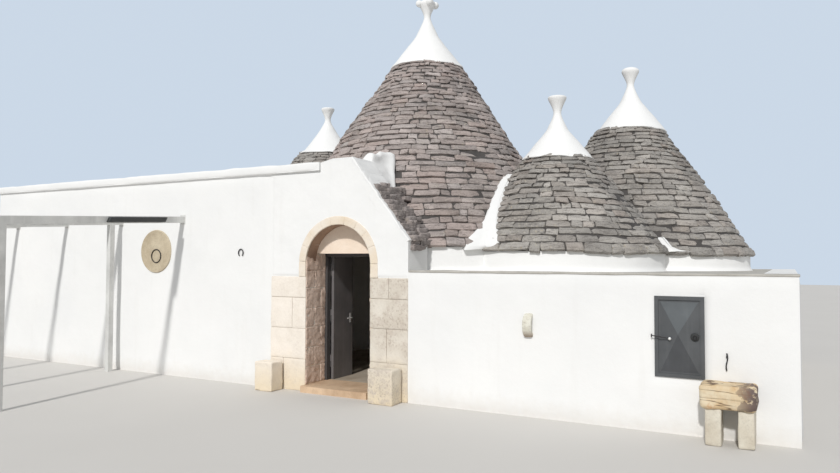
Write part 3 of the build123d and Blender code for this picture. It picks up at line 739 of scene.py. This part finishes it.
def coat(name, corner, along, out, size, seed, cell=0.12, hole=((), ()), outline=None):
    """A skin of limewash over an upright wall: a grid in the wall's plane, pushed out by the random
    field and pressed back to the wall at its edges and round its opening."""
    a, b = (
        np.array(sorted({*np.round(np.linspace(0, s, int(s / cell) + 2), 4), *cuts})) for s, cuts in zip(size, hole)
    )
    A, B = np.meshgrid(a, b, indexing="ij")
    am, bm = (a[1:] + a[:-1])[:, None] / 2, (b[1:] + b[:-1])[None] / 2
    flat = corner + A[..., None] * along + B[..., None] * Z
    edge = np.minimum(np.minimum(A, size[0] - A), np.minimum(B, size[1] - B))
    hidden = np.zeros((len(a) - 1, len(b) - 1), bool)
    if hole[0]:
        (a0, a1), (b0, b1) = hole
        away = np.maximum(np.maximum(a0 - A, A - a1), np.maximum(b0 - B, B - b1))
        edge = np.minimum(edge, np.maximum(away, 0))
        hidden = (am > a0) & (am < a1) & (bm > b0) & (bm < b1)
    if outline:
        hidden = outline(corner + am[..., None] * along + bm[..., None] * Z)
    lumps = 0.011
    proud = 0.010 + lumps * rubble(flat, 0.55, seed) + 0.25 * lumps * rubble(flat, 0.12, seed + 1)
    proud = np.maximum(proud, 0.003) * np.clip(edge / 0.03, 0, 1) - 0.004 * (edge < 1e-6)
    faces = quads(len(a), len(b))[~hidden.reshape(-1)]
    if np.dot(np.cross(along, Z), out) > 0:
        faces = faces[:, ::-1]
    p, faces = only_used(flat + proud[..., None] * out, faces)
    piece(name, p, faces, WHITE, smooth=0)


def in_gable(middle):
    """Parts of the gable's skin that the outline or the arch leaves out."""
    x, z = middle[..., 0], middle[..., 2]
    sloping = (x > GABLE_PEAK_X[1]) & (x > gable_edge_x(z) - 0.035)
    above = sloping | ((x < GABLE_PEAK_X[1]) & (z > gable_top(x) - 0.02))
    arch = np.hypot(x, np.maximum(z - SPRING_Z, 0)) < HALF_DOOR + 0.08
    return above | arch


# from the wall's left end and from the ground
HATCH_HOLE = ((3.44, 4.007), (0.672, 1.643))
coat("gable_limewash", (PORCH_X[0], 0, PIER_Z), X, -Y, (2.55, 1.88), 51, 0.03, outline=in_gable)
coat("wing_limewash", (WING_X, 0, 0), X, -Y, (PORCH_X[0] - WING_X, WING_TOP), 52, 0.09)
coat("right_limewash", (PORCH_X[1], 0, 0), X, -Y, (HOUSE_X[1] - PORCH_X[1], TERRACE_Z), 53, 0.09, HATCH_HOLE)
coat("right_end_limewash", (HOUSE_X[1], 0, 0), Y, X, (BACK_Y, TERRACE_Z), 54)
coat("wing_end_limewash", (WING_X, 0, 0), Y, -X, (WING_BACK, WING_TOP), 55)
coat("back_limewash", (HOUSE_X[0], BACK_Y, 0), X, Y, (HOUSE_X[1] - HOUSE_X[0], TERRACE_Z), 56)
coat("wing_back_limewash", (WING_X, WING_BACK, 0), X, Y, (6.2, WING_TOP), 57)
coat("rear_end_limewash", (HOUSE_X[0], WING_BACK, 0), Y, -X, (BACK_Y - WING_BACK, TERRACE_Z), 58)


def drum_coat(name, t, keep, seed):
    """Limewash over a drum above the terrace: its radius grown by the random field, and more at its foot."""
    angle = full_turn(int(2 * math.pi * t["drum"] / 0.07))
    z = np.linspace(TERRACE_Z, t["eave"] - 0.005, 9)[:, None]
    base = xyz(*spot(t, angle, t["drum"]), z)
    grow = 0.012 + 0.013 * rubble(base, 0.5, seed) + 0.035 * np.clip((TERRACE_Z + 0.05 - z) / 0.05, 0, 1)
    way = xyz(np.cos(angle), np.sin(angle), 0)
    faces = quads(len(z), len(angle), around=True)
    faces = faces[keep(base.reshape(-1, 3)[faces].mean(1))]
    p, faces = only_used(base + grow[..., None] * way, faces)
    piece(name, p, faces, DRUM_WHITE_PAINTED_LIGHT, smooth=0)


def drum_shown(*others):
    """A test for the skin's faces: outside the other trulli, the porch and the wing."""
    def test(mid):
        x, y, _ = mid.T
        porch = (x < PORCH_X[1] - 0.05) & (y < PORCH_Y - 0.05)
        return outside(others, mid, -0.05) & ~(porch | ((x < GABLE_LEFT_X) & (y < WING_BACK - 0.05)))
    return test


drum_coat("front_drum_limewash", FRONT, drum_shown(MAIN, REAR), 61)
drum_coat("rear_drum_limewash", REAR, drum_shown(MAIN, FRONT), 62)
drum_coat("main_drum_limewash", MAIN, drum_shown(FRONT, REAR, LEFT), 63)
drum_coat("left_drum_limewash", LEFT, drum_shown(MAIN), 64)


def middles(boxes):
    """Centres and half sizes of boxes, each given by two corners."""
    boxes = np.array(boxes, float)
    return (boxes[:, 0] + boxes[:, 1]) / 2, (boxes[:, 1] - boxes[:, 0]) / 2


def blocks(name, boxes, corner, lumps, size, seed, n, material=WHITE, replaces=(), smooth=50):
    """Rounded, uneven blocks in one piece, each between two corners."""
    p, f = stones(*middles(boxes), corner, lumps, size, seed, n)
    obj = piece(name, p, f, material, smooth=smooth)
    if replaces:
        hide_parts(*replaces)


COPING_FOOT, COPING_TOP = WING_TOP - 0.004, WING_TOP + 0.125
for name, x0, x1, y0, y1, proud, seed, n in (
    ("front_coping_plaster", -8.945, -0.34, -0.05, 0.44, 0.012, 71, (170, 10, 6)),
    ("end_coping_plaster", -8.945, -8.48, 0.3, 3.0, 0.010, 72, (10, 60, 6)),
    ("back_coping_plaster", -8.945, -2.1, 2.78, 3.245, 0.010, 73, (140, 10, 6)),
):
    box = [(x0, y0, COPING_FOOT), (x1, y1, COPING_TOP + proud)]
    blocks(name, [box], 0.03, 0.016, 0.35, seed, n, smooth=60)


def ridge_plaster():
    """Plaster on the ridge from the gable to the main roof: an upright section with rounded shoulders,
    carried along y. Its foot follows the roof, just inside it; its sides and top follow ridge_side and
    ridge_height, and the random field moves them in and out."""
    rows, soft, front, back = 36, 0.065, 0.575, 1.33
    y = np.linspace(front, back, rows)[:, None]
    foot = np.maximum(RUBBLE_TOP - 0.02, main_roof_height(y) - 0.14)
    side = np.linspace(0, 1, 22)
    across = np.concatenate([0 * side, np.linspace(0, 1, 34)[1:-1], 0 * side + 1, [0.66, 0.33]])[None]
    up = np.concatenate([side, np.ones(32), side[::-1], [0, 0]])[None]
    bend = np.maximum(soft - (y - front), 0)
    x = RIDGE_LEFT + across * (ridge_side(y, GABLE_TOP + 0.2) - RIDGE_LEFT)
    top = ridge_height(x, y) - soft + np.sqrt(np.maximum(soft**2 - bend**2, 0))
    z = foot + up * (top - foot)
    right = ridge_side(y, z)
    x = RIDGE_LEFT + across * (right - RIDGE_LEFT)
    soft = np.minimum(soft, 0.4 * (top - foot))
    over_x = np.maximum(x - (right - soft), 0) - np.maximum(RIDGE_LEFT + soft - x, 0)
    over_z = np.maximum(z - (top - soft), 0)
    away = np.maximum(np.hypot(over_x, over_z), 1e-9)
    pull = np.minimum(soft / away, 1)
    p = xyz(x + over_x * (pull - 1), y, z + over_z * (pull - 1))
    way = xyz(over_x / away, 0, over_z / away) * (away > 1e-6)[..., None]
    p = p + way * (0.020 * noise(p, 0.23, 74) + 0.009 * noise(p, 0.09, 75))[..., None]
    faces, ends = quads(*p.shape[:2], around=True), end_caps(*p.shape[:2])
    obj = piece("ridge_plaster", p, faces, WHITE, smooth=60, extra_faces=ends)
    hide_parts("porch_ridge")


ridge_plaster()


def edge_band(name, z_low, z_high, y0, y1, deep, proud, notch, seed):
    """Plaster along the gable's sloping edge: a rounded oblong across the edge, carried up it. Its outer
    side stands proud of the edge's line, less notches where the random field is high."""
    rows = int((z_high - z_low) / 0.016)
    foot = np.array([gable_edge_x(z_low), 0, z_low])
    head = np.array([gable_edge_x(z_high), 0, z_high])
    path = foot + (head - foot) * np.linspace(0, 1, rows)[:, None]
    way = (head - foot) / np.linalg.norm(head - foot)
    outwards = np.array([way[2], 0, -way[0]])
    across, along_y = squared(np.linspace(-math.pi, math.pi, 56, endpoint=False), 0.22)
    n = (proud - deep) / 2 + (proud + deep) / 2 * across
    y = (y0 + y1) / 2 + (y1 - y0) / 2 * along_y
    p, faces, ends = carried(xyz(n, y), path, outwards[None], Y[None])
    outer = np.clip((n - (proud - 0.03)) / 0.03, 0, 1)[None]
    bites = np.maximum(noise(p, 0.15, seed) - 0.25, 0) * 1.6 + 0.3 * noise(p, 0.05, seed + 1)
    p = p - (outer * notch * bites)[..., None] * outwards
    piece(name, p, faces, WHITE, smooth=50, extra_faces=ends)


edge_band("gable_edge_plaster", 2.36, GABLE_TOP + 0.004, -0.009, 0.09, 0.16, 0.006, 0.026, 76)
edge_band("gable_side_plaster", RUBBLE_TOP - 0.03, GABLE_TOP - 0.004, 0.02, 0.63, 0.14, 0.006, 0.012, 78)
kerb = [(1.252, -0.012, TERRACE_Z - 0.012), (6.252, 0.36, TERRACE_Z + 0.020)]
blocks("right_wall_kerb", [kerb], 0.014, 0.007, 0.3, 75, (110, 9, 4), LIME_ROOF, smooth=60)


def gable_slabs():
    """Slab ends behind the gable's sloping edge, back to the roof: strips across the thickness, each a
    stack of slabs of its own heights, on the drum or the roof, whose ends stand uneven past the edge."""
    rng = np.random.default_rng(76)
    boxes, y = [], 0.07
    while y < 0.95:
        deep = rng.uniform(0.12, 0.30)
        on_roof = main_roof_height(y + 0.5 * deep) - 0.12
        z = max(STEP_FOOT - rng.uniform(0, 0.05), on_roof if y > 0.5 else 0)
        while z < RUBBLE_TOP:
            tall = rng.uniform(0.045, 0.105)
            end = min(gable_edge_x(z + 0.6 * tall), PORCH_X[1]) + rng.uniform(0.0, 0.09)
            boxes.append([(end - 0.34, y - 0.005, z - 0.003), (end, y + deep + 0.005, z + tall + 0.003)])
            z += tall
        y += deep
    p, f = stones(*middles(boxes), 0.013, 0.030, 0.07, 77, n=(7, 9, 5))
    rng, count = np.random.default_rng(78), len(boxes)
    # painted shade: these slab ends take only the darker half of the slabs' tones, for the shade of the gable
    tone = xyz(rng.uniform(0.10, 0.50, count), rng.uniform(0.0, 0.3, count), rng.uniform(0, 0.5, count))
    tone = np.repeat(tone[:, None], p.shape[1], 1)
    piece("gable_edge_slabs", p, f, MAIN_SLABS, tone=tone, smooth=38)


gable_slabs()


# ---------------------------------------------------------------- doorway stones

def pier_courses(x0, x1, *courses):
    """Blocks of a pier's courses, with a thin joint round each. A course is its height and the shares of
    the pier's width at which it splits."""
    boxes, z, gap = [], 0.0, 0.0015
    for height, *splits in courses:
        edges = [x0 + share * (x1 - x0) for share in (0, *splits, 1)]
        for a, b in zip(edges[:-1], edges[1:]):
            boxes.append([(a + gap, -0.014, z + gap), (b - gap, 0.5, z + height - gap)])
        z += height
    return boxes


left_pier = pier_courses(-1.305, -0.60, (0.50, 0.38), (0.48,), (0.49, 0.62), (0.33,))
right_pier = pier_courses(0.60, 1.255, (0.55,), (0.50, 0.45), (0.44,), (0.31, 0.5))
blocks("pier_stones", left_pier + right_pier, 0.008, 0.007, 0.2, 81, (14, 5, 12), PIER_STONE)

REVEAL_JOINTS = (0.10, 0.38, 0.68, 1.00, 1.30, 1.62, 1.90, 2.166)
reveal = []
for x0, x1 in ((-0.64, -0.594), (0.594, 0.64)):
    for k, (z0, z1) in enumerate(zip(REVEAL_JOINTS[:-1], REVEAL_JOINTS[1:])):
        cut = 0.30 + 0.08 * (-1) ** k
        for y0, y1 in ((-0.002, cut), (cut, 0.51)):
            reveal.append([(x0, y0 + 0.002, z0 + 0.002), (x1, y1 - 0.002, z1 - 0.002)])
blocks("reveal_stones", reveal, 0.012, 0.014, 0.07, 83, (3, 22, 24), REVEAL_STONE)


def voussoirs(name, inner, outer, y0, y1, count, material, seed, lumps=0.004):
    """Stones of the arch: rounded blocks whose long side is bent round the arch. The distance along
    the arch runs up the left leg, over the half circle and down the right leg."""
    leg = SPRING_Z - PIER_Z
    mid = (inner + outer) / 2
    whole = 2 * leg + math.pi * mid
    edges = np.linspace(0, whole, count + 1)
    edges[1:-1] += np.random.default_rng(seed).uniform(-0.03, 0.03, count - 1)
    centres = xyz((edges[1:] + edges[:-1]) / 2, (y0 + y1) / 2, mid)
    halves = xyz((edges[1:] - edges[:-1]) / 2 - 0.0004, (y1 - y0) / 2, (outer - inner) / 2)
    p, f = stones(centres, halves, 0.006, lumps, 0.12, seed, n=(8, 8, 6))
    s, y, r = p[..., 0], p[..., 1], p[..., 2]
    a = np.clip((s - leg) / mid, 0, math.pi)
    z = SPRING_Z + r * np.sin(a) - np.maximum(leg - s, 0) - np.maximum(s - (whole - leg), 0)
    piece(name, xyz(-r * np.cos(a), y, z), f, material, smooth=50)


voussoirs("arch_stones", HALF_DOOR - 0.005, HALF_DOOR + RING_T - 0.004, -0.022, 0.010, 11, RING_STONE, 84)
voussoirs("soffit_stones", HALF_DOOR - 0.008, HALF_DOOR + 0.05, 0.010, 0.25, 9, SOFFIT_STONE_AND_PAINTED_SHADE, 85, 0.008)


# ---------------------------------------------------------------- small pieces

def tube(points, radius, close=False):
    """A round bar: a circle carried along the points, turned to face along them."""
    points, turn = np.asarray(points, float), full_turn(10)
    t = np.roll(points, -1, 0) - np.roll(points, 1, 0) if close else np.gradient(points, axis=0)
    t /= np.linalg.norm(t, axis=1, keepdims=True)
    a = np.cross(t, np.where(np.abs(t[:, 2:]) > 0.9, X, Z))
    a /= np.linalg.norm(a, axis=1, keepdims=True)
    p, faces, ends = carried(radius * xyz(np.cos(turn), np.sin(turn)), points, a, np.cross(t, a))
    if close:
        faces, ends = quads(len(points) + 1, len(turn), around=True) % (len(points) * len(turn)), []
    return p, faces, ends


def iron_bars(name, *tubes):
    """Several tubes in one piece of old iron."""
    points, faces, ends, start = [], [], [], 0
    for p, f, e in tubes:
        points.append(p.reshape(-1, 3))
        faces.append(f + start)
        ends += [x + start for x in e]
        start += p.shape[0] * p.shape[1]
    points, faces = np.concatenate(points), np.concatenate(faces)
    return piece(name, points, faces, IRON, smooth=50, extra_faces=ends)


def hatch_panel():
    """The hatch's panel: a flat rim, then four faces that rise to a point; their heights are the point's
    height times the least of the four distances to the rim, each over its greatest. The upper face is
    painted lighter, partly dust and partly painted light, and the lower one darker as painted shade,
    each as a wedge that stands a little before its face."""
    lo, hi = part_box("hatch_panel")
    rim, peak, back, level, ahead = 0.022, 0.048, 0.028, 0.004, 0.0008
    mid_x, mid_z = (lo.x + hi.x) / 2 - 0.01, (lo.z + hi.z) / 2 + 0.03
    left, right, low, high = lo.x + rim, hi.x - rim, lo.z + rim, hi.z - rim
    tip = (mid_x, -peak, mid_z)

    def flat_piece(name, p, f, paint):
        """A piece whose faces are all flat."""
        square, threes = ([c for c in f if len(c) == k] for k in (4, 3))
        obj = piece(name, p, square, paint, smooth=0, extra_faces=threes)
        obj.data.shade_flat()
        return obj

    outer = ((lo.x, lo.z), (hi.x, lo.z), (hi.x, hi.z), (lo.x, hi.z))
    p = [(x, -level, z) for x, z in ((left, low), (right, low), (right, high), (left, high))] + [tip]
    p += [(x, y, z) for y in (-level, back) for x, z in outer]
    f = [(0, 1, 4), (1, 2, 4), (3, 0, 4), (2, 3, 4), (5, 6, 1, 0), (6, 7, 2, 1), (7, 8, 3, 2), (8, 5, 0, 3)]
    f += [(9, 10, 6, 5), (10, 11, 7, 6), (11, 12, 8, 7), (12, 9, 5, 8), (12, 11, 10, 9)]
    obj = flat_piece("hatch_panel_steel", p, f, HATCH_PAINT)
    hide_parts("hatch_panel")
    for name, paint, edge, way in (
        ("hatch_panel_dust_and_painted_light", HATCH_DUST_AND_PAINTED_LIGHT, high, 1), ("hatch_panel_shaded", HATCH_SHADE, low, -1),
    ):
        p = [(left, -level, edge), (right, -level, edge), tip]
        p += [(left, level, edge), (right, level, edge), (mid_x, level, mid_z)]
        f = [(1, 0, 2), (3, 4, 5), (0, 1, 4, 3), (2, 0, 3, 5), (1, 2, 5, 4)]
        flat_piece(name, np.array(p) - ahead * Y, [c[::way] for c in f], paint)


hatch_panel()


def lathe(name, line, centre, material):
    """A knob or disc on a wall: (radius, depth) points turned about an axis square to the wall."""
    turn = full_turn(28)
    r, depth = np.asarray(line, float).T[..., None]
    p = xyz(centre[0] + r * np.cos(turn), centre[1] - depth, centre[2] + r * np.sin(turn))
    faces, caps = quads(*p.shape[:2], around=True), end_caps(*p.shape[:2])
    piece(name, p, faces, material, smooth=40, extra_faces=caps)


DISC = (5.150, -0.018, 1.168)
disc_line = [(0.048, -0.002), (0.048, 0.010), (0.042, 0.017), (0.020, 0.020), (0.004, 0.020)]
knob_line = [(0.005, -0.004), (0.012, 0.0), (0.017, 0.008), (0.017, 0.016), (0.010, 0.024), (0.003, 0.026)]
lathe("hatch_disc", disc_line, DISC, BLACK_STEEL)
turn = full_turn(28)
hatch_ring = xyz(DISC[0] + 0.004 + 0.020 * np.cos(turn), DISC[1] - 0.026, DISC[2] - 0.006 + 0.024 * np.sin(turn))
rod = np.linspace((4.655, -0.052, 1.166), (4.865, -0.052, 1.140), 14)
pin = np.linspace((4.660, -0.052, 1.166), (4.660, -0.002, 1.166), 5)
cross = np.linspace((4.660, -0.052, 1.146), (4.660, -0.052, 1.186), 5)
latch = (tube(hatch_ring, 0.0055, close=True), tube(rod, 0.0065), tube(pin, 0.007), tube(cross, 0.006))
iron_bars("hatch_furniture", *latch)
lathe("hatch_knob", knob_line, (4.872, -0.045, 1.138), PALE_STEEL_AND_PAINTED_SHEEN)

turn = np.radians(np.linspace(-52, 232, 40))
shoe = xyz(-1.955 + 0.050 * np.cos(turn), -0.030, 2.183 + 0.060 * np.sin(turn))
shoe_iron = iron_bars("horseshoe_iron", tube(shoe, 0.009))
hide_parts("horseshoe")


def hitching_loop():
    """A stone loop on the wall: a rounded oblong carried round a half ellipse from the wall to the wall."""
    lo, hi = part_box("hitching_stone")
    turn = np.radians(np.linspace(-102, 102, 44))
    path = xyz((lo.x + hi.x) / 2 + 0.01, -0.082 * np.cos(turn), (lo.z + hi.z) / 2 + 0.125 * np.sin(turn))
    out = xyz(0, -np.cos(turn), np.sin(turn))
    oblong = xyz(*squared(full_turn(28), 0.5)) * (0.060, 0.036)
    p, faces, ends = carried(oblong, path, -X[None], out)
    p = p + 0.008 * rubble(p, 0.08, 97)[..., None] * out[:, None]
    obj = piece("hitching_loop", p, faces, HITCH_STONE, smooth=60, extra_faces=ends)
    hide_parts("hitching_stone")


hitching_loop()

hook_z = np.linspace(1.0, 0.80, 14)
hook = xyz(5.493 + 0.008 * np.sin((1.0 - hook_z) * 30), -0.022, hook_z)
stub = [(5.493, 0.005, 0.96), (5.493, -0.01, 0.96), (5.493, -0.03, 0.96)]
iron_bars("wall_hook", tube(hook, 0.008), tube(stub, 0.010))

bench = [[(5.225, -0.402, 0.410), (5.815, -0.002, 0.682)]]
legs = [[(5.28, -0.362, 0.0), (5.45, -0.004, 0.42)], [(5.62, -0.362, 0.0), (5.79, -0.004, 0.42)]]
stands = [[(-1.355, -0.33, 0.0), (-1.01, -0.06, 0.456)], [(0.77, -0.33, 0.0), (1.175, -0.03, 0.50)]]
for name, boxes, corner, lumps, size, seed, n, material, node in (
    ("bench_stone", bench, 0.050, 0.024, 0.14, 91, (30, 18, 14), BENCH_STONE, "bench_slab"),
    ("bench_leg_stones", legs, 0.02, 0.012, 0.14, 92, (8, 14, 14), LEG_STONE, "bench_legs"),
    ("plant_stand_blocks", stands, 0.016, 0.016, 0.13, 93, (14, 14, 16), PIER_STONE, "door_blocks"),
):
    blocks(name, boxes, corner, lumps, size, seed, n, material, (node,))


def cane_tray():
    """A round tray of coiled cane on the wing's wall: its depth over the radius is a row of half
    rounds, one a coil, that rises to a rolled rim and falls back to the wall."""
    x, z, full_r, coils = -4.00, 2.215, 0.385, 15
    turn = full_turn(96)
    r = np.concatenate([np.linspace(0.002, full_r, 5 * coils), [full_r + 0.006, full_r]])[:, None]
    depth = 0.016 + 0.006 * np.abs(np.sin(r / full_r * math.pi * coils)) + 0.016 * (r / full_r) ** 4
    depth[-2:, 0] = (0.012, 0.0)
    stitch = 0.0015 * np.sin(turn * 48) * np.clip(r / 0.05, 0, 1)
    p = xyz(x + r * np.cos(turn), -(depth + stitch), z + r * np.sin(turn))
    faces, caps = quads(len(r), len(turn), around=True)[:, ::-1], [c[::-1] for c in end_caps(len(r), len(turn))]
    piece("cane_tray", p, faces, CANE, smooth=60, extra_faces=caps)
    ring = xyz(x + 0.01 + 0.118 * np.cos(turn), -0.030, z - 0.085 + 0.118 * np.sin(turn))
    iron_bars("tray_ring", tube(ring, 0.009, close=True))


cane_tray()

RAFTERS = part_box("pergola_rail")


def heater_bar():
    """A radiant heater on the first rafter's side: a rounded bar that follows the rafter's fall."""
    fall = math.tan(math.radians(3.0))
    x1 = RAFTERS[1].x - 0.02
    p, f = stones([(x1 + 0.03, -1.02, 0.0)], [(0.035, 0.56, 0.042)], 0.012, 0.0, 1.0, 95, n=(6, 14, 8))
    x, y, z = p[..., 0], p[..., 1], p[..., 2]
    y = y + 0.5 * z
    z = RAFTERS[1].z - 0.03 - 0.055 + z + fall * y
    piece("heater_bar", xyz(x, y, z), f, BLACK_STEEL, smooth=50)


heater_bar()


# ---------------------------------------------------------------- stage, lights and camera

def stand(name, data, place=(0, 0, 0), degrees=(0, 0, 0)):
    """A floor, lamp or camera at its place, turned by degrees."""
    obj = bpy.data.objects.new(name, data)
    bpy.context.collection.objects.link(obj)
    obj.location = place
    obj.rotation_euler = [math.radians(d) for d in degrees]
    return obj


floor = stand("floor", bpy.data.meshes.new("floor"))
floor.data.from_pydata([(-60, -60, 0), (60, -60, 0), (60, 60, 0), (-60, 60, 0)], [], [(0, 1, 2, 3)])
ground = Paint("floor_paint", 0.9)
pale = ground.ramp(ground.noise(0.4, 2), (0.0, (0.60, 0.58, 0.55)), (1.0, (0.64, 0.62, 0.59)))
floor.data.materials.append(ground.colour(pale))

world = bpy.data.worlds.new("studio")
bpy.context.scene.world = world
world.use_nodes = True
sky = world.node_tree
light = sky.nodes["Background"]
light.inputs["Color"].default_value = (0.93, 0.96, 1.0, 1)
light.inputs["Strength"].default_value = 0.50
seen = sky.nodes.new("ShaderNodeBackground")
seen.inputs["Color"].default_value = (0.60, 0.69, 0.80, 1)
seen.inputs["Strength"].default_value = 1.0
ray = sky.nodes.new("ShaderNodeLightPath")
eye_or_gloss = sky.nodes.new("ShaderNodeMath")
eye_or_gloss.operation = "MAXIMUM"
either = sky.nodes.new("ShaderNodeMixShader")
for source, socket in (
    (ray.outputs["Is Camera Ray"], eye_or_gloss.inputs[0]), (ray.outputs["Is Glossy Ray"], eye_or_gloss.inputs[1]),
    (eye_or_gloss.outputs[0], either.inputs[0]), (light.outputs[0], either.inputs[1]),
    (seen.outputs[0], either.inputs[2]), (either.outputs[0], sky.nodes["World Output"].inputs["Surface"]),
):
    sky.links.new(source, socket)

sun = stand("sun", bpy.data.lights.new("sun", "SUN"), degrees=(52, 0, 9))
sun.data.energy = 2.35
sun.data.angle = math.radians(3)
sun.data.color = (1.0, 0.985, 0.962)

camera = stand("camera", bpy.data.cameras.new("camera"), (6.15, -8.717, 2.07), (90 + 1.965, -0.15, 28.35))
camera.data.sensor_width = 36
camera.data.lens = 29.36
bpy.context.scene.camera = camera
bpy.context.scene.view_settings.view_transform = "Standard"
